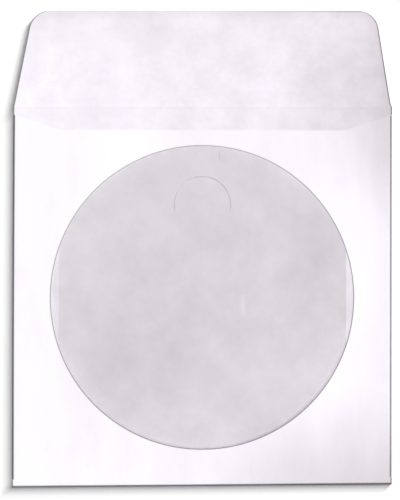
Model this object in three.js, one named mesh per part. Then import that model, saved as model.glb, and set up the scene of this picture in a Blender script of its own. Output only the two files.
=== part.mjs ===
// A paper disc sleeve: one die-cut sheet, folded and glued, with a clear film pane behind its round window.
// Millimetres. +X runs to the right, +Y towards the flap, +Z up out of the window.
// The back panel lies on z = 0, and the flap lies open, as cut.
import * as THREE from "three";

// Driving dimensions
const WIDTH = 125;
const POCKET_LENGTH = 125.5;
const FLAP_LENGTH = 31.55;
const PAPER = 0.12;
const FILM = 0.04;
const GLUE_GAP = 0.01;
const WINDOW_RADIUS = 49.85;
const FILM_SIDE = 110;
const FILM_FREE_BAND = 1.6;
const TAB_WIDTH = 14.2;
const TAB_SLANT = 5;
const TAB_SETBACK = 2.75;
const SIDE_BEND_RADIUS = 0.7;
const FOLD_SKEW = 1.15;
const LEFT_FOLD_LEAN = 0.35;
const FOLD_NOTCH = 0.15;
const FLAP_INSET_LEFT = 6.3;
const FLAP_INSET_RIGHT = 5.4;
const FLAP_STEP_RIGHT = 0.35;
const FLAP_STEP_RUN = 0.8;
const FLAP_CORNER_RADIUS = 5.5;
const SLIT_RADIUS = 9.3;
const SLIT_WIDTH = 0.2;
const SLIT_BELOW_CREASE = 32.25;
const PUFF = 0.9;
const PUFF_RUN = 34;
const FLAP_DROOP = 0.45;
const FILM_DIP = 0.25;

// Places along the sleeve, from the bottom fold's left end to the tip of the flap
const Y_BOTTOM = -(POCKET_LENGTH + FLAP_LENGTH) / 2;
const Y_CREASE = Y_BOTTOM + POCKET_LENGTH;
const Y_TIP = Y_CREASE + FLAP_LENGTH;
const Y_MOUTH = Y_CREASE - TAB_SETBACK - TAB_SLANT;
const Y_WINDOW = Y_BOTTOM + POCKET_LENGTH / 2;
const Y_SKEW_START = Y_WINDOW - WINDOW_RADIUS;
const Y_SLIT = Y_CREASE - SLIT_BELOW_CREASE;
const Y_TAB_TOP = Y_CREASE - TAB_SETBACK;
const Y_TAB_BOTTOM = Y_BOTTOM + TAB_SETBACK;

// Heights of the middle of the paper, and the bends that join them
const BACK_HEIGHT = PAPER / 2;
const TAB_HEIGHT = BACK_HEIGHT + PAPER + GLUE_GAP;
const EDGE_HEIGHT = TAB_HEIGHT + 2 * SIDE_BEND_RADIUS;
const BOTTOM_BEND_RADIUS = (EDGE_HEIGHT - BACK_HEIGHT) / 2;
const X_BEND = WIDTH / 2 - PAPER / 2 - SIDE_BEND_RADIUS;
const Y_BEND = Y_BOTTOM + PAPER / 2 + BOTTOM_BEND_RADIUS;

// How finely the sheet is divided
const CELLS = 20;
const CELL = FILM_SIDE / CELLS;
const BEND_STEPS = 6;
const CORNER_STEPS = 5;
const SLIT_CELLS = 4;
const SLIT_POINTS = 8 * SLIT_CELLS;

// Whole steps from one value to another, both ends included.
function steps(from, to, count) {
  return Array.from({ length: count + 1 }, (_, i) => from + ((to - from) * i) / count);
}

// 0 at the start of a run and 1 at its end, level at both.
function easedShare(distance, run) {
  return THREE.MathUtils.smoothstep(distance, 0, run);
}

// The folds run out of square. Below the window, the sheet is shorter towards its right edge,
// and its left side leans in more and more on the way up to the crease.
function sheetPoint(x, y, z) {
  const below = THREE.MathUtils.clamp((Y_SKEW_START - y) / (Y_SKEW_START - Y_BEND), 0, 1);
  const risen = THREE.MathUtils.clamp((y - Y_BOTTOM) / POCKET_LENGTH, 0, 1);
  const acrossFromLeft = x / WIDTH + 0.5;
  const lean = LEFT_FOLD_LEAN * risen ** 2 * (1 - acrossFromLeft);
  return new THREE.Vector3(x + lean, y + FOLD_SKEW * below * acrossFromLeft, z);
}

// The window panel stands clear of the back panel by its folds, and its middle puffs up a little more.
function frontHeight(x, y) {
  const across = easedShare(X_BEND - Math.abs(x), PUFF_RUN);
  const along = easedShare(y - Y_BEND, PUFF_RUN);
  const droop = FLAP_DROOP * Math.max(0, (y - Y_CREASE) / FLAP_LENGTH);
  return EDGE_HEIGHT + PUFF * across * along - droop;
}

function frontPoint(x, y) {
  return sheetPoint(x, y, frontHeight(x, y));
}

function indexedGeometry(points, index) {
  const geometry = new THREE.BufferGeometry().setFromPoints(points);
  geometry.setIndex(index);
  geometry.computeVertexNormals();
  return geometry;
}

// A mid-surface made of patches. Patches that share an edge share its points.
class Sheet {
  constructor() {
    this.points = [];
    this.faces = [];
    this.known = new Map();
  }

  index(point) {
    const key = point.toArray().map((value) => Math.round(value * 1e4)).join();
    if (!this.known.has(key)) {
      this.known.set(key, this.points.length);
      this.points.push(point);
    }
    return this.known.get(key);
  }

  // Corners in order, anticlockwise seen from the sheet's outer side unless mirrored.
  face(corners, mirrored = false) {
    const ring = corners.map((corner) => this.index(corner));
    if (mirrored) ring.reverse();
    for (let k = 1; k + 1 < ring.length; k++) this.faces.push([ring[0], ring[k], ring[k + 1]]);
  }

  // Cells between neighbouring lines of points. keep(line, cell) leaves out the cells it refuses.
  strip(lines, { mirrored = false, keep = () => true } = {}) {
    for (let i = 0; i + 1 < lines.length; i++) {
      for (let j = 0; j + 1 < lines[i].length; j++) {
        if (!keep(i, j)) continue;
        this.face([lines[i][j], lines[i][j + 1], lines[i + 1][j + 1], lines[i + 1][j]], mirrored);
      }
    }
  }

  // A patch over every pair of values of two directions.
  grid(across, along, place, mirrored = false) {
    this.strip(along.map((v) => across.map((u) => place(u, v))), { mirrored });
  }

  // The closed solid of this sheet's thickness: both faces, and a wall along every free edge.
  solid(thickness) {
    const normals = indexedGeometry(this.points, this.faces.flat()).getAttribute("normal");
    const count = this.points.length;
    const offset = (side) => this.points.map((point, i) =>
      new THREE.Vector3().fromBufferAttribute(normals, i).multiplyScalar((side * thickness) / 2).add(point));
    const index = this.faces.flatMap(([a, b, c]) => [a, b, c, a + count, c + count, b + count]);
    for (const [a, b] of this.freeEdges()) index.push(b, a, a + count, b, a + count, b + count);
    return indexedGeometry([...offset(1), ...offset(-1)], index);
  }

  // Edges that only one face uses, in that face's order.
  freeEdges() {
    const sides = this.faces.flatMap(([a, b, c]) => [[a, b], [b, c], [c, a]]);
    const used = new Set(sides.map(([a, b]) => `${a} ${b}`));
    return sides.filter(([a, b]) => !used.has(`${b} ${a}`));
  }
}

// Points once round a square, from its lower right corner, the same number on each side.
function squareRing(half, cells, place) {
  const corners = [[1, -1], [1, 1], [-1, 1], [-1, -1], [1, -1]];
  const ring = [];
  for (let side = 0; side < 4; side++) {
    const [start, end] = [corners[side], corners[side + 1]];
    for (let k = 0; k < cells; k++) {
      const share = k / cells;
      ring.push(place(
        half * THREE.MathUtils.lerp(start[0], end[0], share),
        half * THREE.MathUtils.lerp(start[1], end[1], share),
      ));
    }
  }
  return [...ring, ring[0]];
}

// Points once round a circle, in step with a square's ring.
function circleRing(radius, count, place) {
  const ring = [];
  for (let k = 0; k < count; k++) {
    const angle = -Math.PI / 4 + (2 * Math.PI * k) / count;
    ring.push(place(radius * Math.cos(angle), radius * Math.sin(angle)));
  }
  return [...ring, ring[0]];
}

// Rings of flat points from the window's edge out to the square that the film covers.
function windowRings() {
  const flat = (x, y) => new THREE.Vector2(x, Y_WINDOW + y);
  const rim = circleRing(WINDOW_RADIUS, 4 * CELLS, flat);
  const nearRim = circleRing(WINDOW_RADIUS + FILM_FREE_BAND, 4 * CELLS, flat);
  const square = squareRing(FILM_SIDE / 2, CELLS, flat);
  const between = nearRim.map((point, k) => point.clone().lerp(square[k], 0.5));
  return [rim, nearRim, between, square];
}

// The window panel, with its hole, out to where the folds begin.
function addWindowPanel(sheet) {
  const rings = windowRings().map((ring) => ring.map((point) => frontPoint(point.x, point.y)));
  sheet.strip(rings, { mirrored: true });
  const half = FILM_SIDE / 2;
  const beside = steps(Y_WINDOW - half, Y_WINDOW + half, CELLS);
  const columns = [-X_BEND, ...steps(-half, half, CELLS), X_BEND];
  sheet.grid([-X_BEND, -half], beside, frontPoint);
  sheet.grid([half, X_BEND], beside, frontPoint);
  sheet.grid(columns, [Y_BEND, Y_TAB_BOTTOM, Y_WINDOW - half], frontPoint);
  sheet.grid(columns, [Y_WINDOW + half, Y_TAB_TOP, Y_CREASE], frontPoint);
}

// Where no tab is cut, the panel runs flat to its edge, at the bottom corners and beside the crease.
function addPanelEdges(sheet) {
  const edge = WIDTH / 2;
  for (const side of [-1, 1]) {
    const corner = [Y_BEND, Y_BEND, Y_TAB_BOTTOM - FOLD_NOTCH, Y_TAB_BOTTOM];
    const besideCrease = [Y_TAB_TOP, Y_TAB_TOP + FOLD_NOTCH, Y_CREASE, Y_CREASE];
    for (const [start, low, high, end] of [corner, besideCrease]) {
      const outline = [[X_BEND, start], [edge, low], [edge, high], [X_BEND, end]];
      sheet.face(outline.map(([x, y]) => frontPoint(side * x, y)), side < 0);
    }
  }
}

// The flap: sides that lean in, the right one after a small step, and two round corners at its tip.
function addFlap(sheet) {
  const half = FILM_SIDE / 2;
  const edge = WIDTH / 2;
  const columns = [-edge, -X_BEND, ...steps(-half, half, CELLS), X_BEND, edge];
  const yStep = Y_CREASE + FLAP_STEP_RUN;
  const straightRows = [Y_CREASE, ...steps(yStep, Y_TIP - FLAP_CORNER_RADIUS, 4)];
  const straight = straightRows.map((y) => ({ y, cut: 0 }));
  const round = steps(0, Math.PI / 2, CORNER_STEPS).slice(1).map((angle) => ({
    y: Y_TIP - FLAP_CORNER_RADIUS * (1 - Math.sin(angle)),
    cut: FLAP_CORNER_RADIUS * (1 - Math.cos(angle)),
  }));
  sheet.strip([...straight, ...round].map(({ y, cut }) => {
    const share = (y - Y_CREASE) / FLAP_LENGTH;
    const step = FLAP_STEP_RIGHT * Math.min(1, (y - Y_CREASE) / FLAP_STEP_RUN);
    const left = -edge + FLAP_INSET_LEFT * share + cut;
    const right = edge - step - (FLAP_INSET_RIGHT - FLAP_STEP_RIGHT) * share - cut;
    return columns.map((x) => frontPoint(THREE.MathUtils.mapLinear(x, -edge, edge, left, right), y));
  }));
}

// A side fold and the tab that it turns in under the window panel, with slanted ends.
function addSideTab(sheet, side) {
  const half = FILM_SIDE / 2;
  const rows = [Y_TAB_BOTTOM, ...steps(Y_WINDOW - half, Y_WINDOW + half, CELLS), Y_TAB_TOP];
  const bend = (angle, y) => sheetPoint(
    side * (X_BEND + SIDE_BEND_RADIUS * Math.sin(angle)),
    y,
    EDGE_HEIGHT - SIDE_BEND_RADIUS * (1 - Math.cos(angle)),
  );
  const tab = (inward, y) => {
    const slant = (TAB_SLANT * inward) / TAB_WIDTH;
    const [low, high] = [Y_TAB_BOTTOM + slant, Y_TAB_TOP - slant];
    const slantedY = THREE.MathUtils.mapLinear(y, Y_TAB_BOTTOM, Y_TAB_TOP, low, high);
    return sheetPoint(side * (X_BEND - inward), slantedY, TAB_HEIGHT);
  };
  sheet.grid(steps(0, Math.PI, BEND_STEPS), rows, bend, side < 0);
  sheet.grid(steps(0, TAB_WIDTH, 2), rows, tab, side < 0);
}

// The bottom fold, as wide as the sleeve, and the back panel that it turns up under the sleeve. The back panel
// narrows at once to lie between the side folds, and has the half-moon slit.
function addBackPanel(sheet) {
  const half = FILM_SIDE / 2;
  const edge = WIDTH / 2;
  const columns = [-X_BEND, ...steps(-half, half, CELLS), X_BEND];
  const bend = (x, angle) => sheetPoint(
    x,
    Y_BEND - BOTTOM_BEND_RADIUS * Math.sin(angle),
    EDGE_HEIGHT - BOTTOM_BEND_RADIUS * (1 - Math.cos(angle)),
  );
  const back = (x, y) => sheetPoint(x, y, BACK_HEIGHT);
  const slitHalf = CELL * SLIT_CELLS / 2;
  const left = columns.filter((x) => x <= -slitHalf + 1e-6);
  const right = columns.filter((x) => x >= slitHalf - 1e-6);
  const besideSlit = steps(Y_SLIT - slitHalf, Y_SLIT + slitHalf, SLIT_CELLS);
  sheet.grid([-edge, ...columns, edge], steps(0, Math.PI, BEND_STEPS), bend, true);
  for (const side of [-1, 1]) {
    const corner = [back(side * X_BEND, Y_BEND), back(side * edge, Y_BEND), back(side * X_BEND, Y_TAB_BOTTOM)];
    sheet.face(corner, side > 0);
  }
  sheet.grid(columns, [Y_BEND, Y_TAB_BOTTOM, (Y_BEND + besideSlit[0]) / 2, besideSlit[0]], back, true);
  sheet.grid(left, besideSlit, back, true);
  sheet.grid(right, besideSlit, back, true);
  sheet.grid(columns, [besideSlit[SLIT_CELLS], Y_MOUTH], back, true);
  addSlit(sheet, slitHalf, (x, y) => back(x, Y_SLIT + y));
}

// A narrow slot along the upper half of a circle, a little past its diameter, frees a half-moon tongue.
function addSlit(sheet, half, place) {
  const square = squareRing(half, SLIT_CELLS, place);
  const outer = circleRing(SLIT_RADIUS + SLIT_WIDTH / 2, SLIT_POINTS, place);
  const inner = circleRing(SLIT_RADIUS - SLIT_WIDTH / 2, SLIT_POINTS, place);
  for (let k = 0; k + 1 < square.length; k++) {
    sheet.face([square[k], square[k + 1], outer[2 * k + 1]], true);
    sheet.face([square[k], outer[2 * k + 1], outer[2 * k]], true);
    sheet.face([square[k + 1], outer[2 * k + 2], outer[2 * k + 1]], true);
  }
  const firstCut = SLIT_POINTS / 8 - 1;
  const lastCut = firstCut + SLIT_POINTS / 2 + 1;
  sheet.strip([inner, outer], { keep: (_, k) => k < firstCut || k > lastCut });
  for (let k = 0; k < SLIT_POINTS; k++) sheet.face([place(0, 0), inner[k], inner[k + 1]], true);
}

// The film pane: glued under the window panel near its outline, a little lower all round the window.
function filmSheet() {
  const sheet = new Sheet();
  const under = (PAPER + FILM) / 2 + GLUE_GAP;
  const dips = [FILM_DIP, FILM_DIP / 4, 0, 0];
  const glued = windowRings().map((ring, k) => ring.map(({ x, y }) =>
    sheetPoint(x, y, frontHeight(x, y) - under - dips[k])));
  const rim = glued[0];
  const middle = rim.slice(1).reduce((sum, point) => sum + point.z, 0) / (rim.length - 1);
  const centre = new THREE.Vector3(0, Y_WINDOW, middle);
  const stretched = (share) => rim.map((point) => {
    const level = THREE.MathUtils.lerp(middle, point.z, share * share);
    return centre.clone().lerp(point, share).setZ(level);
  });
  const inside = stretched(1 / 3);
  sheet.strip([inside, stretched(2 / 3), ...glued], { mirrored: true });
  for (let k = 0; k + 1 < inside.length; k++) sheet.face([centre, inside[k], inside[k + 1]]);
  return sheet;
}

function foldedPaperSheet() {
  const sheet = new Sheet();
  addWindowPanel(sheet);
  addPanelEdges(sheet);
  addFlap(sheet);
  addSideTab(sheet, -1);
  addSideTab(sheet, 1);
  addBackPanel(sheet);
  return sheet;
}

function namedMesh(name, geometry, material) {
  const mesh = new THREE.Mesh(geometry, material);
  mesh.name = name;
  return mesh;
}

const paperMaterial = new THREE.MeshStandardMaterial({ color: 0xf6f2f8, roughness: 0.85, metalness: 0 });
const filmMaterial = new THREE.MeshStandardMaterial({
  color: 0xe8e6ea, roughness: 0.12, metalness: 0, transparent: true, opacity: 0.3,
});

const discSleeve = new THREE.Group();
discSleeve.name = "disc_sleeve";
discSleeve.add(namedMesh("folded_paper", foldedPaperSheet().solid(PAPER), paperMaterial));
discSleeve.add(namedMesh("window_film", filmSheet().solid(FILM), filmMaterial));

export default discSleeve;
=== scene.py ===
"""A paper sleeve for one disc: a folded white sheet with a round film window and an open flap."""
from math import pi, radians
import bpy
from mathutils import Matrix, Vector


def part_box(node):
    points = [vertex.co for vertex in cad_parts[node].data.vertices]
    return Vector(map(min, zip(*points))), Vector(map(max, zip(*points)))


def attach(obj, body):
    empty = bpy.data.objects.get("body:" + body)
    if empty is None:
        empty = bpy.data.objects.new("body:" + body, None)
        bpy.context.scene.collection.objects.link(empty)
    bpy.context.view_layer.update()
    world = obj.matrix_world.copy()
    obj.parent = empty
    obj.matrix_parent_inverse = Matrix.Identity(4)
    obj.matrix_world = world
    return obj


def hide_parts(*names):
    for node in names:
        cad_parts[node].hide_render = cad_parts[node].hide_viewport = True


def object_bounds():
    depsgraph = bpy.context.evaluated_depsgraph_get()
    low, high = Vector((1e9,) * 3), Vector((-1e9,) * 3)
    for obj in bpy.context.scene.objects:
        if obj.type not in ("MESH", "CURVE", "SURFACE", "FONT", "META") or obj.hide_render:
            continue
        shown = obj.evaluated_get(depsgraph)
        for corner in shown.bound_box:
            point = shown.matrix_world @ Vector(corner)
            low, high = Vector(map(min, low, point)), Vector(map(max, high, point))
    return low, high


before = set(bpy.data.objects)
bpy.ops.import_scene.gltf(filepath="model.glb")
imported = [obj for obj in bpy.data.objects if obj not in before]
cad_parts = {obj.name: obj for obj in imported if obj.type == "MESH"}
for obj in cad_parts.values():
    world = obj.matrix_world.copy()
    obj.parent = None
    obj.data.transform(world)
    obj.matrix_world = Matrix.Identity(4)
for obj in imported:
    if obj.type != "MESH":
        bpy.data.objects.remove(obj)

from types import SimpleNamespace

import bmesh
import bpy
import numpy as np
from bpy.props import FloatProperty, FloatVectorProperty, IntProperty, PointerProperty
from bpy.types import Operator, Panel, PropertyGroup
from mathutils import Vector

bl_info = {
    "name": "Paper Disc Sleeve",
    "version": (1, 0, 0),
    "blender": (4, 5, 0),
    "location": "View3D > Sidebar > Sleeve",
    "description": "Builds a folded paper disc sleeve, its film window and a plain pale stage",
    "category": "Add Mesh",
}

CAD_LOW, CAD_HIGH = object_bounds()
FILM_LOW, FILM_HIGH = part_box("window_film")
MM = 0.001


# Sizes and colours


def length(name, description, default):
    """A property in metres."""
    return FloatProperty(
        name=name,
        description=description,
        default=default,
        unit="LENGTH",
        subtype="DISTANCE",
        precision=5,
    )


def colour(name, description, default):
    """A colour property, in linear light."""
    return FloatVectorProperty(
        name=name, description=description, default=default, size=3, subtype="COLOR", min=0, max=1
    )


class SleeveSizes(PropertyGroup):
    """How large the sleeve is, and how its paper bends."""

    width: length("Width", "Across both side folds", CAD_HIGH.x - CAD_LOW.x)
    pocket: length("Pocket", "From the bottom fold to the flap's crease", 125.5 * MM)
    flap: length("Flap", "From the crease to the flap's tip", 31.55 * MM)
    paper: length("Paper", "Thickness of the sheet", 0.12 * MM)
    film: length("Film", "Thickness of the window film", 0.04 * MM)
    glue: length("Glue", "Gap that the glue fills between two layers", 0.01 * MM)
    window: length("Window radius", "Radius of the round hole", 49.85 * MM)
    film_side: length("Film side", "Side of the square film pane", FILM_HIGH.x - FILM_LOW.x)
    bend: length("Fold radius", "Radius of the side folds, at the middle of the paper", 0.7 * MM)
    tab: length("Tab width", "How far each side tab reaches in", 14.2 * MM)
    tab_slant: length("Tab slant", "How far the ends of a tab lean over its width", 5 * MM)
    tab_setback: length("Tab setback", "From the crease to the end of a side fold", 2.75 * MM)
    notch: length("Fold notch", "Cut that frees the end of a side fold", 0.15 * MM)
    skew: length("Fold skew", "How far the bottom fold climbs from left to right", 1.15 * MM)
    fold_lean: length("Fold lean", "How far the left fold leans in up to the crease", 0.35 * MM)
    inset_left: length("Left inset", "How far the flap's left side leans in", 6.3 * MM)
    inset_right: length("Right inset", "How far the flap's right side leans in", 5.4 * MM)
    step_right: length("Right step", "How far the flap's right side steps in", 0.35 * MM)
    step_run: length("Step run", "Length over which the right side steps in", 0.8 * MM)
    corner: length("Flap corner", "Radius of the flap's two corners", 5.5 * MM)
    slit: length("Slit radius", "Radius of the half-moon slit", 9.3 * MM)
    slit_below: length("Slit place", "From the crease to the middle of the slit", 32.25 * MM)
    slit_width: length("Slit width", "How wide the slit gapes", 0.2 * MM)
    puff: length("Puff", "How much the middle of the window panel stands up", 0.86 * MM)
    puff_run: length("Puff run", "How far in from the folds the puff reaches its height", 34 * MM)
    droop: length("Flap droop", "How far the flap's tip hangs below its crease", 0.45 * MM)
    film_dip: length("Film dip", "How far the film hangs below the window's rim", 0.25 * MM)
    ripple: length("Ripple", "Height of the slow waves in the paper", 0.04 * MM)
    crease: length("Crease", "Height of the bead along the flap's crease", 0.05 * MM)
    cells: IntProperty(
        name="Cells", description="Divisions along each side of the film", default=60, min=16, max=120
    )


class SleeveColours(PropertyGroup):
    """The colours of paper, film and floor."""

    bright: colour("Bright paper", "The cleanest paper, over other layers", (0.99, 0.975, 0.99))
    clean: colour("Clean paper", "Paper over other layers", (0.967, 0.918, 0.985))
    paper: colour("Paper", "One layer of clean paper", (0.92, 0.872, 0.95))
    # The shaded paper is the colour of the painted shade over the corners and towards the right
    shaded_paper: colour("Dull paper", "Paper at the corners that are handled most", (0.69, 0.638, 0.687))
    film: colour("Film", "Tint that light takes on through the film", (0.9, 0.902, 0.897))
    floor: colour("Floor", "The pale surface that the sleeve lies on", (0.6, 0.6, 0.6))


def places(sizes):
    """Heights and places that follow from the sizes, in metres. The flap's tip is at the top of the
    CAD box."""
    tip = CAD_HIGH.y
    crease = tip - sizes.flap
    bottom = crease - sizes.pocket
    back = sizes.paper / 2
    tab = back + sizes.paper + sizes.glue
    edge = tab + 2 * sizes.bend
    bottom_bend = (edge - back) / 2
    return SimpleNamespace(
        tip=tip,
        crease=crease,
        bottom=bottom,
        middle=bottom + sizes.pocket / 2,
        mouth=crease - sizes.tab_setback - sizes.tab_slant,
        tab_top=crease - sizes.tab_setback,
        tab_bottom=bottom + sizes.tab_setback,
        slit=crease - sizes.slit_below,
        back=back,
        tab=tab,
        edge=edge,
        bottom_bend=bottom_bend,
        x_bend=sizes.width / 2 - sizes.paper / 2 - sizes.bend,
        y_bend=bottom + sizes.paper / 2 + bottom_bend,
    )


# Shape of the sheet

# Slow waves: their seed, number and lengths, and how far from the folds they reach their height
WAVE_SEED = 7
WAVE_COUNT = 6
WAVE_LENGTHS_MM = (18, 60)
WAVE_RUN = 8 * MM

# Distance from the crease at which its bead has about a third of its height
BEAD_HALF_WIDTH = 0.5 * MM


def ease(distance, run):
    """0 at the start of a run and 1 at its end, level at both: t squared times three less twice t."""
    t = np.clip(distance / run, 0, 1)
    return t * t * (3 - 2 * t)


def divided(start, end, cells):
    """Evenly spaced lines from start to end, with the given number of cells between them."""
    return np.linspace(start, end, cells + 1)


def ripples(x, y):
    """Slow waves in handled paper: the mean of six sines of seeded length, direction and phase."""
    rng = np.random.default_rng(WAVE_SEED)
    total = np.zeros(np.broadcast(x, y).shape)
    for _ in range(WAVE_COUNT):
        wavelength = rng.uniform(*WAVE_LENGTHS_MM) * MM
        heading = rng.uniform(0, pi)
        phase = rng.uniform(0, 2 * pi)
        along = x * np.cos(heading) + y * np.sin(heading)
        total = total + np.sin(2 * pi * along / wavelength + phase)
    return total / WAVE_COUNT


def panel_height(sizes, at, x, y):
    """Height of the middle of the window panel's and flap's paper: the folds' height, and a puff that
    eases up from the folds, less a droop that grows along the flap, with slow ripples and a low bead
    along the crease."""
    from_side = at.x_bend - np.abs(x)
    from_bottom = y - at.y_bend
    inside = ease(from_side, sizes.puff_run) * ease(from_bottom, sizes.puff_run)
    along_flap = np.maximum(0, (y - at.crease) / sizes.flap)
    free = ease(from_side, WAVE_RUN) * ease(from_bottom, WAVE_RUN)
    bead = sizes.crease * np.exp(-(((y - at.crease) / BEAD_HALF_WIDTH) ** 2))
    waves = sizes.ripple * ripples(x, y) * free
    return at.edge + sizes.puff * inside - sizes.droop * along_flap + waves + bead


def sheet_points(sizes, at, x, y, z):
    """Points of the sheet as one array, whose folds run out of square. Below the window each row
    climbs evenly to the right. The left side leans in by the square of the way up from the bottom
    fold to the crease."""
    start = at.middle - sizes.window
    below = np.clip((start - y) / (start - at.y_bend), 0, 1)
    risen = np.clip((y - at.bottom) / sizes.pocket, 0, 1)
    from_left = x / sizes.width + 0.5
    lean = sizes.fold_lean * risen**2 * (1 - from_left)
    climb = sizes.skew * below * from_left
    return np.stack(np.broadcast_arrays(x + lean, y + climb, z), axis=-1)


def panel_points(sizes, at, x, y):
    """Points of the window panel or flap above given places."""
    return sheet_points(sizes, at, x, y, panel_height(sizes, at, x, y))


def square_ring(half, cells):
    """Places once round a square from its lower right corner, the same number on each side, closed."""
    share = np.arange(cells) / cells
    corners = np.array([[1, -1], [1, 1], [-1, 1], [-1, -1], [1, -1]], float)
    sides = [corners[k] + share[:, None] * (corners[k + 1] - corners[k]) for k in range(4)]
    return half * np.concatenate([*sides, corners[:1]])


def ring_angles(cells):
    """Angles once round a circle, in step with a square ring of the same cells on each side."""
    return -pi / 4 + 2 * pi * np.arange(4 * cells + 1) / (4 * cells)


def circle_ring(radius, cells):
    """Places once round a circle, in step with a square ring, closed."""
    angle = ring_angles(cells)
    return radius * np.stack([np.cos(angle), np.sin(angle)], axis=-1)


def rings_to_square(radii, half, cells, steps):
    """Circles of the given radii, then rings in equal steps from the last circle to a square."""
    circles = np.stack([circle_ring(radius, cells) for radius in radii])
    share = divided(0, 1, steps)[1:, None, None]
    return np.concatenate([circles, circles[-1] + share * (square_ring(half, cells) - circles[-1])])


# Rings of paper round the window: how far each lies from the cut edge, and the painted shade on it
# where it is most, a dark ring at the window's edge
RIM_RINGS = np.array([0, 0.12, 0.3, 0.6, 1.1, 1.6]) * MM
RIM_SHADE = np.array([1.0, 0.95, 0.35, 0, 0, 0])

# The side of the window on which the painted shade is most, and its share on the opposite side
RIM_SHADE_HEADING = radians(-65)
RIM_SHADE_LEAST = 0.75

# Rings between the last of these circles and the film's square
STEPS_TO_SQUARE = 10


def window_rings(sizes, at):
    """Rings of flat places from the window's edge to the square that the film covers."""
    radii = sizes.window + RIM_RINGS
    rings = rings_to_square(radii, sizes.film_side / 2, sizes.cells, STEPS_TO_SQUARE)
    return rings[..., 0], rings[..., 1] + at.middle


def rim_shade(at, x, y):
    """Painted shade on the rings round the window: each ring's own shade, times a cosine of the heading
    that falls to its least on the opposite side."""
    heading = np.arctan2(y[0] - at.middle, x[0]) - RIM_SHADE_HEADING
    around = RIM_SHADE_LEAST + (1 - RIM_SHADE_LEAST) * (0.5 + 0.5 * np.cos(heading))
    wear = np.zeros(x.shape)
    wear[:len(RIM_SHADE)] = np.outer(RIM_SHADE, around)
    return wear


class Patchwork:
    """Patches of one sheet, each a grid of points. Each face has a number for the part of the sheet
    that it shows, and each point has its painted shade, from 0 where none is painted to 1 where it is
    darkest."""

    def __init__(self):
        self.points = []
        self.quads = []
        self.parts = []
        self.wear = []
        self.count = 0

    def add(self, grid, part, flip=False, keep=None, wear=0.0):
        """A grid of points, with a face in each cell that keep allows, turned over if flip is set."""
        rows, columns = grid.shape[:2]
        index = self.count + np.arange(rows * columns).reshape(rows, columns)
        corners = [index[:-1, :-1], index[:-1, 1:], index[1:, 1:], index[1:, :-1]]
        quads = np.stack(corners[::-1] if flip else corners, axis=-1)
        quads = quads.reshape(-1, 4) if keep is None else quads[keep]
        self.points.append(grid.reshape(-1, 3))
        self.quads.append(quads)
        self.parts.append(np.full(len(quads), part, np.float32))
        self.wear.append(np.broadcast_to(wear, (rows, columns)).reshape(-1).astype(np.float32))
        self.count += rows * columns

    def piece(self, name, thickness):
        """The closed solid: patches welded along shared edges, and thickened evenly to both sides."""
        mesh = bpy.data.meshes.new(name)
        mesh.from_pydata(np.concatenate(self.points), [], np.concatenate(self.quads))
        parts = mesh.attributes.new("sheet_part", "FLOAT", "FACE")
        parts.data.foreach_set("value", np.concatenate(self.parts))
        # Painted shade of each point, which darkens the paper's colour along folds, cut edges, window
        # rim and slit
        wear = mesh.attributes.new("wear", "FLOAT", "POINT")
        wear.data.foreach_set("value", np.concatenate(self.wear))
        weld(mesh)
        piece = bpy.data.objects.new(name, mesh)
        bpy.context.scene.collection.objects.link(piece)
        solidify = piece.modifiers.new("thickness", "SOLIDIFY")
        solidify.thickness = thickness
        solidify.offset = 0
        solidify.use_even_offset = True
        finish_mesh(piece)
        return piece


WELD_DISTANCE = 0.002 * MM
SHORTEST_EDGE = 0.001 * MM
SHARP_FROM = radians(35)


def weld(mesh):
    """Joins the points that neighbouring patches share, and closes the poles."""
    work = bmesh.new()
    work.from_mesh(mesh)
    bmesh.ops.remove_doubles(work, verts=work.verts, dist=WELD_DISTANCE)
    bmesh.ops.dissolve_degenerate(work, edges=work.edges, dist=SHORTEST_EDGE)
    work.to_mesh(mesh)
    work.free()


def finish_mesh(piece):
    """Applies the modifiers and shades the piece smooth, apart from its cut edges."""
    evaluated = piece.evaluated_get(bpy.context.evaluated_depsgraph_get())
    piece.data = bpy.data.meshes.new_from_object(evaluated)
    piece.data.name = piece.name
    piece.modifiers.clear()
    piece.data.shade_smooth()
    piece.data.set_sharp_from_angle(angle=SHARP_FROM)


# Parts of the folded sheet

PANEL, TAB, BACK = 0, 1, 2

# Painted shade where it is most on the cut edges and folds of the left side, -1, and of the right side,
# 1, and on the bottom fold
EDGE_SHADE = {-1: 0.95, 1: 0.85}
FOLD_SHADE = {-1: 0.93, 1: 0.88}
BOTTOM_SHADE = 0.8

# Painted shade along the flap's tip, up to its middle and at its right end, and how far in it fades
TIP_SHADE, TIP_SHADE_RIGHT = 0.15, 0.6
TIP_FADE = 0.7 * MM

# Painted shade on both sides of the slit, and how far from it the shade fades
SLIT_SHADE = 0.35
SLIT_SHADE_REACH = 0.12 * MM

# Lines beside a cut edge, as shares of the way out to it, and how much of the edge's painted shade each
# has
EDGE_SHARES = np.array([0.3, 0.6, 0.8, 1.0])
EDGE_FADE = np.array([0.0, 0.75, 1.0, 1.0])

# Cells round a fold, and the turns at which its painted shade has come up, starts to fall and stops
# falling
FOLD_CELLS = 16
SHADE_FULL, SHADE_FALLS, SHADE_FALLEN = radians(25), radians(60), radians(100)
UNDERSIDE_SHARE = 0.25

# Cells along each side of the square that holds the slit, and how far the slit outruns a half circle
SLIT_CELLS = 16
SLIT_OVERRUN = radians(11.3)

# Slack for telling whether two lines are the same
SLACK = 1e-9


def fold_shade(angle):
    """Painted shade over a fold, by how far it has turned: it eases up from the flat, and past the
    outermost line, where the fold turns under, it eases down to the underside's share."""
    fallen = (1 - UNDERSIDE_SHARE) * ease(angle - SHADE_FALLS, SHADE_FALLEN - SHADE_FALLS)
    return ease(angle, SHADE_FULL) * (1 - fallen)


def column_lines(sizes, at):
    """Lines across the sheet from side fold to side fold."""
    half = sizes.film_side / 2
    beside = divided(half, at.x_bend, 3)[1:]
    return np.concatenate([-beside[::-1], divided(-half, half, sizes.cells), beside])


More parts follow.
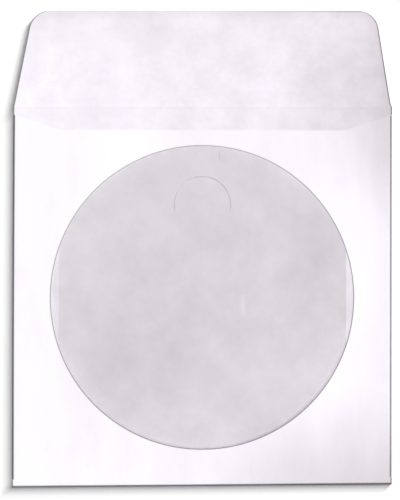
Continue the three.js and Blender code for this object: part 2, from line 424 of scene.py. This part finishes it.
def lines_to_edges(sizes, at):
    """Lines across the sheet from edge to edge, and the painted shade on each."""
    columns = column_lines(sizes, at)
    outer = at.x_bend + EDGE_SHARES * (sizes.width / 2 - at.x_bend)
    wear = [EDGE_SHADE[-1] * EDGE_FADE[::-1], np.zeros(len(columns)), EDGE_SHADE[1] * EDGE_FADE]
    return np.concatenate([-outer[::-1], columns, outer]), np.concatenate(wear)


def corner_rows(sizes, at):
    """Lines along the short stretch from the bottom fold up to the end of a side fold."""
    halfway = (at.y_bend + at.tab_bottom) / 2
    return np.array([at.y_bend, halfway, at.tab_bottom - sizes.notch, at.tab_bottom])


def crease_rows(sizes, at):
    """Lines along the short stretch from the end of a side fold up to the crease."""
    rows = divided(at.tab_top, at.crease, 8)
    return np.concatenate([rows[:1], [at.tab_top + sizes.notch], rows[1:]])


def fold_rows(sizes, at):
    """Lines along a side fold in three stretches: below the film's square, beside it and above it."""
    half = sizes.film_side / 2
    low = divided(at.tab_bottom, at.middle - half, 3)
    level = divided(at.middle - half, at.middle + half, sizes.cells)
    high = divided(at.middle + half, at.tab_top, 4)
    return low, level, high


def blocks_round_square(columns, half, low, level, high):
    """Columns and rows of the blocks round a square: left and right of it, below it and above it."""
    left = columns[columns < -half + SLACK]
    right = columns[columns > half - SLACK]
    return (left, level), (right, level), (columns, low), (columns, high)


def add_window_panel(work, sizes, at):
    """The window panel: rings round the hole, columns beside them, and rows below and above."""
    x, y = window_rings(sizes, at)
    work.add(panel_points(sizes, at, x, y), PANEL, flip=True, wear=rim_shade(at, x, y))
    low, level, high = fold_rows(sizes, at)
    low = np.concatenate([corner_rows(sizes, at)[:-1], low])
    high = np.concatenate([high, crease_rows(sizes, at)[1:]])
    columns = column_lines(sizes, at)
    for across, along in blocks_round_square(columns, sizes.film_side / 2, low, level, high):
        work.add(panel_points(sizes, at, across[None, :], along[:, None]), PANEL)


def edge_strip(sizes, at, side, rows, reach):
    """A strip from a fold's line out to the sheet's edge, of which each row has its own reach, from 0
    to 1: its places across and along, and its painted shade."""
    shares = np.concatenate([[0], EDGE_SHARES])
    fade = np.concatenate([[0], EDGE_FADE])
    x = side * (at.x_bend + np.outer(reach, shares) * (sizes.width / 2 - at.x_bend))
    return x, rows[:, None], EDGE_SHADE[side] * np.outer(reach > 0, fade)


def add_panel_edges(work, sizes, at):
    """Where no tab is cut, the panel runs flat to its edge: at the bottom corners and by the crease."""
    corner = corner_rows(sizes, at)
    beside = crease_rows(sizes, at)
    for side in (-1, 1):
        for rows, reach in ((corner, corner < at.tab_bottom), (beside, beside > at.tab_top)):
            x, y, wear = edge_strip(sizes, at, side, rows, reach)
            work.add(panel_points(sizes, at, x, y), PANEL, flip=side < 0, wear=wear)


def flap_outline(sizes, at):
    """Rows of the flap, and where each starts and ends: the sides lean in evenly, the right one after
    a small step, and near the tip both follow a quarter circle."""
    near = at.crease + sizes.step_run * divided(0, 3, 9)
    straight = divided(near[-1], at.tip - sizes.corner, 13)[1:]
    turn = divided(0, pi / 2, 16)[1:]
    y = np.concatenate([near, straight, at.tip - sizes.corner * (1 - np.sin(turn))])
    cut = np.concatenate([np.zeros(len(near) + len(straight)), sizes.corner * (1 - np.cos(turn))])
    share = (y - at.crease) / sizes.flap
    left = -sizes.width / 2 + sizes.inset_left * share + cut
    step = sizes.step_right * np.minimum(1, (y - at.crease) / sizes.step_run)
    right = sizes.width / 2 - step - (sizes.inset_right - sizes.step_right) * share - cut
    return y, left, right


def add_flap(work, sizes, at):
    """The flap: lines spread over each row in proportion, with painted shade along its sides and its
    tip.
    """
    columns, shade_at_sides = lines_to_edges(sizes, at)
    y, left, right = flap_outline(sizes, at)
    x = left[:, None] + np.outer(right - left, columns / sizes.width + 0.5)
    along_tip = TIP_SHADE + (TIP_SHADE_RIGHT - TIP_SHADE) * ease(columns, sizes.width / 2)
    shade_at_tip = np.outer(1 - ease(at.tip - y, TIP_FADE), along_tip)
    wear = np.maximum(shade_at_sides[None, :], shade_at_tip)
    work.add(panel_points(sizes, at, x, y[:, None]), PANEL, wear=wear)


def add_side_tab(work, sizes, at, side):
    """A side fold, half a circle about a line at half the folds' height, and the flat tab inside."""
    low, level, high = fold_rows(sizes, at)
    rows = np.concatenate([low[:-1], level, high[1:]])[:, None]
    angle = divided(0, pi, FOLD_CELLS)[None, :]
    x = side * (at.x_bend + sizes.bend * np.sin(angle))
    z = at.edge - sizes.bend * (1 - np.cos(angle))
    # Painted shade over the fold, where it turns away from the top
    wear = FOLD_SHADE[side] * fold_shade(angle)
    work.add(sheet_points(sizes, at, x, rows, z), TAB, flip=side < 0, wear=wear)
    inward = divided(0, sizes.tab, 8)[None, :]
    slant = sizes.tab_slant * inward / sizes.tab
    share = (rows - at.tab_bottom) / (at.tab_top - at.tab_bottom)
    y = at.tab_bottom + slant + share * (at.tab_top - at.tab_bottom - 2 * slant)
    work.add(sheet_points(sizes, at, side * (at.x_bend - inward), y, at.tab), TAB, flip=side < 0)


def add_bottom_fold(work, sizes, at):
    """The bottom fold: half a circle over the sleeve's whole width."""
    columns, shade_at_edges = lines_to_edges(sizes, at)
    angle = divided(0, pi, FOLD_CELLS)[:, None]
    y = at.y_bend - at.bottom_bend * np.sin(angle)
    z = at.edge - at.bottom_bend * (1 - np.cos(angle))
    # Painted shade over the bottom fold, and along the cut edges at its ends
    wear = np.maximum(BOTTOM_SHADE * fold_shade(angle), shade_at_edges[None, :] * (angle < SHADE_FALLEN))
    work.add(sheet_points(sizes, at, columns[None, :], y, z), BACK, flip=True, wear=wear)


def add_back_panel(work, sizes, at):
    """The flat back panel, which narrows at once to lie between the side folds: rows round a square
    that holds the slit."""
    corner = corner_rows(sizes, at)
    reach = (at.tab_bottom - corner) / (at.tab_bottom - at.y_bend)
    for side in (-1, 1):
        x, y, wear = edge_strip(sizes, at, side, corner, reach)
        work.add(sheet_points(sizes, at, x, y, at.back), BACK, flip=side > 0, wear=wear)
    half = SLIT_CELLS / 2 * sizes.film_side / sizes.cells
    level = at.slit + divided(-half, half, SLIT_CELLS)
    low = np.concatenate([corner, divided(at.tab_bottom, level[0], 23)[1:]])
    high = divided(level[-1], at.mouth, 5)
    for across, along in blocks_round_square(column_lines(sizes, at), half, low, level, high):
        points = sheet_points(sizes, at, across[None, :], along[:, None], at.back)
        work.add(points, BACK, flip=True)
    add_slit(work, sizes, at, half)


def add_slit(work, sizes, at, half):
    """The square round the slit, as rings: a slot is left open over the upper half circle and a
    little past both its ends."""
    inner = sizes.slit - sizes.slit_width / 2
    outer = sizes.slit + sizes.slit_width / 2
    inside = divided(0, inner - SLIT_SHADE_REACH, 6)
    slot = len(inside)
    radii = np.concatenate([inside, [inner, outer, outer + SLIT_SHADE_REACH]])
    rings = rings_to_square(radii, half, SLIT_CELLS, 5)
    angle = ring_angles(SLIT_CELLS)
    cell_middle = (angle[1:] + angle[:-1]) / 2
    cut = (cell_middle > -SLIT_OVERRUN) & (cell_middle < pi + SLIT_OVERRUN)
    keep = np.ones((len(rings) - 1, len(cut)), bool)
    keep[slot] = ~cut
    # Painted shade on both sides of the slot
    wear = np.zeros(rings.shape[:2])
    wear[slot:slot + 2, :-1][:, cut] = SLIT_SHADE
    wear[:, -1] = wear[:, 0]
    points = sheet_points(sizes, at, rings[..., 0], at.slit + rings[..., 1], at.back)
    work.add(points, BACK, keep=keep, wear=wear)


def folded_paper(sizes):
    """The whole sheet: window panel, flap, side tabs and back panel, welded into one folded solid."""
    at = places(sizes)
    work = Patchwork()
    add_window_panel(work, sizes, at)
    add_panel_edges(work, sizes, at)
    add_flap(work, sizes, at)
    for side in (-1, 1):
        add_side_tab(work, sizes, at, side)
    add_bottom_fold(work, sizes, at)
    add_back_panel(work, sizes, at)
    return work.piece("sleeve_paper", sizes.paper)


# How far from the window's rim the film comes up to lie against the paper
FILM_DIP_RUN = 3.5 * MM


def window_film(sizes):
    """The film: under the panel it follows the paper, a little lower near the window. Inside the
    window it is stretched from rim to rim, each point at the middle's height plus the rim's rise
    times the radius squared."""
    at = places(sizes)
    x, y = window_rings(sizes, at)
    under = (sizes.paper + sizes.film) / 2 + sizes.glue
    from_rim = np.hypot(x, y - at.middle) - sizes.window
    dip = sizes.film_dip * (1 - ease(from_rim, FILM_DIP_RUN))
    glued = panel_height(sizes, at, x, y) - under - dip
    share = divided(0, 1, 23)[:, None]
    centre = glued[0, :-1].mean()
    stretched = centre + (glued[0][None, :] - centre) * share**2
    inside_x = x[0][None, :] * share
    inside_y = at.middle + (y[0] - at.middle)[None, :] * share
    work = Patchwork()
    work.add(sheet_points(sizes, at, x, y, glued), PANEL, flip=True)
    work.add(sheet_points(sizes, at, inside_x, inside_y, stretched), PANEL, flip=True)
    return work.piece("sleeve_film", sizes.film)


# Materials


class Nodes:
    """Adds and links shader nodes in one tree."""

    def __init__(self, tree):
        self.tree = tree

    def link(self, source, target):
        """Joins one node's socket to another's."""
        self.tree.links.new(source, target)

    def add(self, kind, values=None, **settings):
        """A node with its settings, whose inputs take values, or links from other sockets."""
        node = self.tree.nodes.new(kind)
        for key, value in settings.items():
            setattr(node, key, value)
        for key, value in (values or {}).items():
            if isinstance(value, bpy.types.NodeSocket):
                self.link(value, node.inputs[key])
            else:
                node.inputs[key].default_value = value
        return node

    def group(self, tree, values=None):
        """The outputs of a node group."""
        return self.add("ShaderNodeGroup", values, node_tree=tree).outputs

    def attribute(self, name):
        """The value of one of the piece's own attributes."""
        return self.add("ShaderNodeAttribute", attribute_name=name).outputs["Fac"]

    def math(self, operation, *values):
        """A Math node's result."""
        return self.add("ShaderNodeMath", dict(enumerate(values)), operation=operation).outputs[0]

    def vector(self, operation, values):
        """A Vector Math node's result."""
        return self.add("ShaderNodeVectorMath", values, operation=operation).outputs[0]

    def mix(self, factor, first, second):
        """The first value where the factor is 0, and the second one where it is 1."""
        return self.add("ShaderNodeMix", {"Factor": factor, "A": first, "B": second}).outputs["Result"]

    def step(self, value, low, high, to_low=0.0, to_high=1.0):
        """A smooth change between two values as a third one goes from low to high."""
        values = {"Value": value, "From Min": low, "From Max": high}
        values |= {"To Min": to_low, "To Max": to_high}
        return self.add("ShaderNodeMapRange", values, interpolation_type="SMOOTHSTEP").outputs["Result"]

    def ramp(self, value, places, shades):
        """Colours that blend from each to the next, where the value passes their places."""
        low, high = places[0], places[-1]
        values = {"Value": value, "From Min": low, "From Max": high}
        share = self.add("ShaderNodeMapRange", values).outputs["Result"]
        node = self.add("ShaderNodeValToRGB", {0: share})
        stops = node.color_ramp.elements
        for place, shade in zip(places[1:-1], shades[1:-1]):
            stops.new((place - low) / (high - low)).color = (*shade, 1)
        stops[0].color = (*shades[0], 1)
        stops[-1].color = (*shades[-1], 1)
        return node.outputs["Color"]

    def noise(self, vector, scale, detail, roughness):
        """Noise in three dimensions, about a half."""
        values = {"Vector": vector, "Scale": scale, "Detail": detail, "Roughness": roughness}
        return self.add("ShaderNodeTexNoise", values).outputs["Fac"]


def new_group(name, inputs, outputs):
    """A shader node group of values: its nodes, its inputs with their defaults, and its outputs."""
    tree = bpy.data.node_groups.new(name, "ShaderNodeTree")
    for label, default in inputs.items():
        socket = tree.interface.new_socket(label, in_out="INPUT", socket_type="NodeSocketFloat")
        socket.default_value = default
    for label in outputs:
        tree.interface.new_socket(label, in_out="OUTPUT", socket_type="NodeSocketFloat")
    entry = tree.nodes.new("NodeGroupInput")
    leave = tree.nodes.new("NodeGroupOutput")
    return Nodes(tree), entry.outputs, leave.inputs


def millimetres(nodes):
    """Object coordinates in millimetres, whole and as x, y and z."""
    place = nodes.add("ShaderNodeTexCoord").outputs["Object"]
    scaled = nodes.vector("SCALE", {0: place, "Scale": 1 / MM})
    return scaled, nodes.add("ShaderNodeSeparateXYZ", {0: scaled}).outputs


# The paper's clouds and fibres in millimetres, with the clouds' stretch, and the slower clouds where
# the window panel is doubled
PAPER_STOCK = {"Cloud size": 16.0, "Stretch": 1.0, "Fibre size": 0.45}
SLOW_CLOUDS = {"Cloud size": 30.0, "Stretch": 3.0}


def paper_stock_group():
    """Cloudy formation of the pulp, drawn out lengthwise by the stretch, and its fibres' height."""
    nodes, given, out = new_group("paper_stock", PAPER_STOCK, ("Cloud", "Fibres"))
    place, _ = millimetres(nodes)
    cloud_scale = nodes.math("DIVIDE", 1.0, given["Cloud size"])
    fibre_scale = nodes.math("DIVIDE", 1.0, given["Fibre size"])
    shorter = {"X": 1.0, "Y": nodes.math("DIVIDE", 1.0, given["Stretch"]), "Z": 1.0}
    shorter = nodes.add("ShaderNodeCombineXYZ", shorter).outputs[0]
    drawn_out = nodes.vector("MULTIPLY", {0: place, 1: shorter})
    nodes.link(nodes.noise(drawn_out, cloud_scale, detail=7.0, roughness=0.68), out["Cloud"])
    nodes.link(nodes.noise(place, fibre_scale, detail=4.0, roughness=0.7), out["Fibres"])
    return nodes.tree


def layers_group(sizes):
    """How far another layer backs the window panel: below the mouth edge, and above it on the tabs'
    slanted ends."""
    at = places(sizes)
    nodes, given, out = new_group("layers_behind", {"Softness": 0.5}, ("Backed",))
    _, (x, y, _) = millimetres(nodes)
    past = nodes.math("SUBTRACT", nodes.math("ABSOLUTE", x), (at.x_bend - sizes.tab) / MM)
    over_tab = nodes.math("MAXIMUM", nodes.math("DIVIDE", past, sizes.tab / MM), 0.0)
    edge = nodes.math("MULTIPLY_ADD", over_tab, sizes.tab_slant / MM, at.mouth / MM)
    below = nodes.math("SUBTRACT", edge, y)
    backed = nodes.step(below, nodes.math("MULTIPLY", given["Softness"], -1.0), given["Softness"])
    nodes.link(backed, out["Backed"])
    return nodes.tree


# Defaults of a soft oval, in millimetres
SOFT_OVAL = {"Middle X": 0.0, "Middle Y": 0.0, "Half width": 20.0, "Half height": 20.0}


def soft_oval_group():
    """A soft oval about its middle: it eases from 1 to 0 as the distance, as a share of the oval's
    half sizes, goes from 0 to 1."""
    nodes, given, out = new_group("soft_oval", SOFT_OVAL, ("Mask",))
    _, (x, y, _) = millimetres(nodes)
    across = nodes.math("DIVIDE", nodes.math("SUBTRACT", x, given["Middle X"]), given["Half width"])
    along = nodes.math("DIVIDE", nodes.math("SUBTRACT", y, given["Middle Y"]), given["Half height"])
    squares = nodes.math("ADD", nodes.math("POWER", across, 2.0), nodes.math("POWER", along, 2.0))
    nodes.link(nodes.step(nodes.math("SQRT", squares), 1.0, 0.0), out["Mask"])
    return nodes.tree


def new_material(name, values):
    """A material with the given values on its Principled shader: its nodes, shader and output."""
    material = bpy.data.materials.new(name)
    material.use_nodes = True
    material.node_tree.nodes.clear()
    nodes = Nodes(material.node_tree)
    shader = nodes.add("ShaderNodeBsdfPrincipled", values)
    output = nodes.add("ShaderNodeOutputMaterial", {"Surface": shader.outputs["BSDF"]})
    return material, nodes, shader, output


# Painted shade over the corners and the right side: x and y of the middle and half sizes in
# millimetres, and how much they darken
SHADE_OVALS = (
    (66, 44, 42, 44, 0.12),
    (66, 72, 28, 32, 0.14),
    (-54, 82, 22, 18, 0.10),
    (50, -84, 60, 42, 0.26),
)

# The same painted shade where the window panel lies on other layers
DOUBLED_SHADE_OVALS = ((66, 40, 40, 40, 0.10),)

# Ovals in the same form on the inside of the back panel: darker patches, and a lighter spot where the
# depth is less than nothing
BACK_OVALS = (
    (5, -8, 62, 58, 0.05),
    (48, -4, 32, 46, 0.08),
    (-26, -38, 34, 30, 0.07),
    (13.5, -18, 1.6, 6, -0.09),
    (5.8, 31, 0.3, 2.4, 0.14),
)

# Tones across the sleeve, greyer where one layer lies alone, with painted shade that makes the paper
# greyer from left to right: two places in x, in millimetres, and the tone at each of them
DOUBLED_TONE = (-45.0, 5.0, 1.025, 0.96)
SINGLE_TONE = (-60.0, -5.0, 0.985, 0.885)

# Painted shade that falls in tone across the sleeve, in the same way, and along the last millimetres up
# to the tip
SINGLE_FALL = (12.0, 34.0, 0.0, 0.055)
RIGHT_FOLD_FALL = (54.0, 63.0, 0.0, 0.05)
TIP_FALL, TIP_FALL_RUN = 0.07, 4.0

# Tone of the tabs, and how much painted shade darkens the inside of the back panel, down in the pocket
TAB_TONE = 0.94
BACK_SHADE = 0.08

# Contrast of the clouds on one layer, and how much less it is elsewhere
CLOUD_CONTRAST = 0.42
DOUBLED_CALMER = 0.1
BACK_CALMER = 0.08

# Tones at which the paper has each of its five colours, of which the deepest painted shade keeps a
# share of the shaded paper's light
COLOUR_TONES = (0.60, 0.70, 0.93, 0.98, 1.02)
DEEPEST_SHADE_SHARE = 0.86

# Share of the light that the full painted shade takes away
SHADE_DARKENS = 0.76


def less_ovals(nodes, soft_oval, tone, smudges):
    """The tone with every soft oval's depth taken from it."""
    for *oval, depth in smudges:
        mask = nodes.group(soft_oval, dict(zip(SOFT_OVAL, oval)))["Mask"]
        tone = nodes.math("MULTIPLY_ADD", mask, -depth, tone)
    return tone


def layer_tone(nodes, x, on_panel, on_back, backed):
    """The tone of each part of the sheet, by what lies behind it, with painted shade that grows from
    left to right, and painted shade on the inside of the back panel.
    """
    single = nodes.math("SUBTRACT", nodes.step(x, *SINGLE_TONE), nodes.step(x, *SINGLE_FALL))
    panel = nodes.mix(backed, single, nodes.step(x, *DOUBLED_TONE))
    inner = nodes.math("MULTIPLY_ADD", on_back, -BACK_SHADE, TAB_TONE)
    return nodes.mix(on_panel, inner, panel)


def shaded_tone(nodes, soft_oval, tone, x, y):
    """The tone less painted shade: the ovals over the corners, and falls towards the right fold and the
    tip.
    """
    tip = CAD_HIGH.y / MM
    at_tip = nodes.step(y, tip - TIP_FALL_RUN, tip, 0.0, TIP_FALL)
    falls = nodes.math("ADD", nodes.step(x, *RIGHT_FOLD_FALL), at_tip)
    return nodes.math("SUBTRACT", less_ovals(nodes, soft_oval, tone, SHADE_OVALS), falls)


def clouds(nodes, cloud, slow, doubled, on_back):
    """Lighter and darker clouds about zero, slower and calmer where the panel is doubled."""
    contrast = nodes.math("MULTIPLY_ADD", doubled, -DOUBLED_CALMER, CLOUD_CONTRAST)
    contrast = nodes.math("MULTIPLY_ADD", on_back, -BACK_CALMER, contrast)
    about_zero = nodes.math("SUBTRACT", nodes.mix(doubled, cloud, slow), 0.5)
    return nodes.math("MULTIPLY", about_zero, contrast)


def paper_tone(nodes, sizes, cloud, slow):
    """The paper's tone, about 1 where it is lightest: its layers, painted shade over its corners and
    towards the right, ovals inside the back panel, and clouds.
    """
    _, (x, y, _) = millimetres(nodes)
    part = nodes.attribute("sheet_part")
    on_panel = nodes.math("LESS_THAN", part, PANEL + 0.5)
    on_back = nodes.math("GREATER_THAN", part, BACK - 0.5)
    backed = nodes.group(layers_group(sizes))["Backed"]
    doubled = nodes.math("MULTIPLY", on_panel, backed)
    soft_oval = soft_oval_group()
    inside = nodes.math("MULTIPLY", on_back, less_ovals(nodes, soft_oval, 0.0, BACK_OVALS))
    in_front = nodes.math("MULTIPLY", doubled, less_ovals(nodes, soft_oval, 0.0, DOUBLED_SHADE_OVALS))
    cloudy = clouds(nodes, cloud, slow, doubled, on_back)
    local = nodes.math("ADD", nodes.math("ADD", inside, in_front), cloudy)
    flat = layer_tone(nodes, x, on_panel, on_back, backed)
    return nodes.math("ADD", shaded_tone(nodes, soft_oval, flat, x, y), local)


def paper_material(sizes, colours):
    """Matt white paper: greyer where one layer lies alone, cloudy, with fine fibres in its surface, and
    darkened by painted shade along its folds, cut edges, window rim and slit, and over its corners."""
    looks = {"Roughness": 0.85, "Specular IOR Level": 0.25}
    material, nodes, shader, _ = new_material("white_paper", looks)
    paper_stock = paper_stock_group()
    stock = nodes.group(paper_stock)
    slow = nodes.group(paper_stock, SLOW_CLOUDS)["Cloud"]
    tone = paper_tone(nodes, sizes, stock["Cloud"], slow)
    deepest_shade = [DEEPEST_SHADE_SHARE * value for value in colours.shaded_paper]
    shades = (deepest_shade, colours.shaded_paper, colours.paper, colours.clean, colours.bright)
    before_edge_shade = nodes.ramp(tone, COLOUR_TONES, shades)
    # Painted shade along the folds, cut edges, window rim and slit darkens the colour
    wear = nodes.step(nodes.attribute("wear"), 0.0, 1.0)
    left = nodes.math("MULTIPLY_ADD", wear, -SHADE_DARKENS, 1.0)
    fibres = {"Strength": 0.12, "Distance": 0.02 * MM, "Height": stock["Fibres"]}
    nodes.link(nodes.vector("SCALE", {0: before_edge_shade, "Scale": left}), shader.inputs["Base Color"])
    nodes.link(nodes.add("ShaderNodeBump", fibres).outputs["Normal"], shader.inputs["Normal"])
    return material


def film_material(colours):
    """Clear film: smooth thin glass that lamps and soft light shine through, so that the paper behind
    is lit."""
    tint = (*colours.film, 1)
    looks = {"Base Color": tint, "Roughness": 0.03, "Transmission Weight": 1, "IOR": 1.45}
    material, nodes, shader, output = new_material("clear_film", looks)
    path = nodes.add("ShaderNodeLightPath").outputs
    light = nodes.math("MAXIMUM", path["Is Shadow Ray"], path["Is Diffuse Ray"])
    through = nodes.add("ShaderNodeBsdfTransparent", {"Color": tint}).outputs[0]
    values = {0: light, 1: shader.outputs["BSDF"], 2: through}
    nodes.link(nodes.add("ShaderNodeMixShader", values).outputs[0], output.inputs["Surface"])
    return material


def seen_directly(nodes):
    """1 for a ray from the camera, in a gloss or through the film, and 0 for light on its way to a
    surface."""
    path = nodes.add("ShaderNodeLightPath").outputs
    through = nodes.math("MAXIMUM", path["Is Glossy Ray"], path["Is Transmission Ray"])
    return nodes.math("MAXIMUM", path["Is Camera Ray"], through)


WHITE = (1, 1, 1, 1)


def floor_material(colours):
    """A pale floor that the camera sees as white, apart from the sleeve's shadow on it."""
    looks = {"Base Color": (*colours.floor, 1), "Roughness": 1, "Specular IOR Level": 0}
    material, nodes, shader, output = new_material("pale_floor", looks)
    white = nodes.add("ShaderNodeBsdfDiffuse", {"Color": WHITE}).outputs[0]
    values = {0: seen_directly(nodes), 1: shader.outputs["BSDF"], 2: white}
    nodes.link(nodes.add("ShaderNodeMixShader", values).outputs[0], output.inputs["Surface"])
    return material


# Stage

# How far each floor lamp leans towards the upper right, as sideways over upwards, its side in metres
# and its power in watts
FLOOR_LAMPS = ((0.0, 0.3, 11.0), (0.45, 1.5, 24.0), (1.1, 1.05, 49.0), (1.9, 0.45, 48.0))
FLOOR_LAMP_DISTANCE = 3.0

# How far the floor reaches to each side, and how far it lies below the sleeve
FLOOR_REACH = 3.0
FLOOR_GAP = 0.02 * MM

# Strength of the light from all round on the sleeve and the floor
ROOM_LIGHT = 0.25

# The camera: the picture's height and the size of a metre in it, both in pixels, the width of the
# sensor in millimetres, where the camera stands, and how it is turned in the picture's plane
PICTURE_HEIGHT = 500
PIXELS_PER_METRE = 3038
SENSOR = 36.0
CAMERA_DISTANCE = 1.0
CAMERA_PLACE = (-0.64 * MM, -0.165 * MM, CAMERA_DISTANCE + 1.6 * MM)
CAMERA_TURN = radians(0.05)


def soft_lamp(name, place, side, power, lights_only):
    """A square lamp aimed at the origin. It lights only the given objects, and is seen neither
    directly, nor in a gloss, nor through the film."""
    light = bpy.data.lights.new(name, "AREA")
    light.shape = "SQUARE"
    light.size = side
    light.energy = power
    lamp = bpy.data.objects.new(name, light)
    bpy.context.scene.collection.objects.link(lamp)
    lamp.location = place
    lamp.rotation_euler = (-lamp.location).to_track_quat("-Z", "Y").to_euler()
    lamp.visible_camera = False
    lamp.visible_glossy = False
    lamp.visible_transmission = False
    lit = bpy.data.collections.new(f"{name}_lights")
    for thing in lights_only:
        lit.objects.link(thing)
    lamp.light_linking.receiver_collection = lit
    return lamp


def make_floor_lamps(floor):
    """Lamps from overhead down to the upper right, so that the sleeve's shadow fades out evenly to the
    lower left."""
    for k, (lean, side, power) in enumerate(FLOOR_LAMPS):
        way = Vector((lean, lean, 1)).normalized()
        soft_lamp(f"floor_lamp_{k}", way * FLOOR_LAMP_DISTANCE, side, power, [floor])


def make_sleeve_lamps(sleeve):
    """A soft lamp overhead, and a wide even light without shadows from the upper right, which leaves
    the left and lower folds dark."""
    soft_lamp("overhead_lamp", place=(0.12, -0.2, 0.8), side=0.3, power=2.1, lights_only=sleeve)
    wide = soft_lamp("side_light", place=(2.3, 2.3, 2.3), side=2.0, power=150, lights_only=sleeve)
    wide.data.use_shadow = False


def make_camera():
    """A long lens straight above the sleeve, framed as the photograph is."""
    data = bpy.data.cameras.new("above")
    data.sensor_width = SENSOR
    data.lens = PIXELS_PER_METRE * CAMERA_DISTANCE / PICTURE_HEIGHT * SENSOR
    camera = bpy.data.objects.new("above", data)
    camera.location = CAMERA_PLACE
    camera.rotation_euler = (0, 0, CAMERA_TURN)
    bpy.context.scene.collection.objects.link(camera)
    bpy.context.scene.camera = camera


def make_floor(colours):
    """A wide flat floor just under the sleeve."""
    ends = [-FLOOR_REACH, FLOOR_REACH]
    grid = np.stack(np.meshgrid(ends, ends), axis=-1).reshape(-1, 2)
    mesh = bpy.data.meshes.new("floor")
    mesh.from_pydata(np.column_stack([grid, np.full(4, -FLOOR_GAP)]), [], [(0, 1, 3, 2)])
    floor = bpy.data.objects.new("floor", mesh)
    bpy.context.scene.collection.objects.link(floor)
    floor.data.materials.append(floor_material(colours))
    return floor


def make_world():
    """White all round for the camera and for gloss, and a low even light on everything else."""
    world = bpy.data.worlds.new("pale_room")
    bpy.context.scene.world = world
    world.use_nodes = True
    world.node_tree.nodes.clear()
    nodes = Nodes(world.node_tree)
    strength = nodes.step(seen_directly(nodes), 0.0, 1.0, ROOM_LIGHT, 1.0)
    background = nodes.add("ShaderNodeBackground", {"Color": WHITE, "Strength": strength})
    nodes.add("ShaderNodeOutputWorld", {"Surface": background.outputs[0]})


# Operators and panel


class SLEEVE_OT_folded_paper(Operator):
    """Builds the folded sheet over its solid"""

    bl_idname = "sleeve.folded_paper"
    bl_label = "Folded Paper"

    def execute(self, context):
        sizes = context.scene.sleeve_sizes
        piece = folded_paper(sizes)
        piece.data.materials.append(paper_material(sizes, context.scene.sleeve_colours))
        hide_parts("folded_paper")
        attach(piece, "root")
        return {"FINISHED"}


class SLEEVE_OT_window_film(Operator):
    """Builds the clear pane behind the window over its solid"""

    bl_idname = "sleeve.window_film"
    bl_label = "Window Film"

    def execute(self, context):
        piece = window_film(context.scene.sleeve_sizes)
        piece.data.materials.append(film_material(context.scene.sleeve_colours))
        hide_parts("window_film")
        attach(piece, "root")
        return {"FINISHED"}


class SLEEVE_OT_stage(Operator):
    """Adds the floor, lamps, world and camera"""

    bl_idname = "sleeve.stage"
    bl_label = "Stage"

    def execute(self, context):
        floor = make_floor(context.scene.sleeve_colours)
        sleeve = [bpy.data.objects["sleeve_paper"], bpy.data.objects["sleeve_film"]]
        make_floor_lamps(floor)
        make_sleeve_lamps(sleeve)
        make_world()
        make_camera()
        context.scene.view_settings.view_transform = "Standard"
        return {"FINISHED"}


class SLEEVE_PT_parts(Panel):
    """Lists the sleeve's parts and stage"""

    bl_idname = "SLEEVE_PT_parts"
    bl_label = "Paper Disc Sleeve"
    bl_space_type = "VIEW_3D"
    bl_region_type = "UI"
    bl_category = "Sleeve"

    def draw(self, context):
        for operator in OPERATORS:
            self.layout.operator(operator.bl_idname)


OPERATORS = (SLEEVE_OT_folded_paper, SLEEVE_OT_window_film, SLEEVE_OT_stage)
CLASSES = (SleeveSizes, SleeveColours, *OPERATORS, SLEEVE_PT_parts)


def register():
    """Adds the classes and the scene's properties to Blender."""
    for cls in CLASSES:
        bpy.utils.register_class(cls)
    bpy.types.Scene.sleeve_sizes = PointerProperty(type=SleeveSizes)
    bpy.types.Scene.sleeve_colours = PointerProperty(type=SleeveColours)


def unregister():
    """Takes the scene's properties and the classes out again."""
    del bpy.types.Scene.sleeve_colours
    del bpy.types.Scene.sleeve_sizes
    for cls in reversed(CLASSES):
        bpy.utils.unregister_class(cls)


def main():
    register()
    bpy.ops.sleeve.folded_paper()
    bpy.ops.sleeve.window_film()
    bpy.ops.sleeve.stage()


if __name__ == "__main__":
    main()
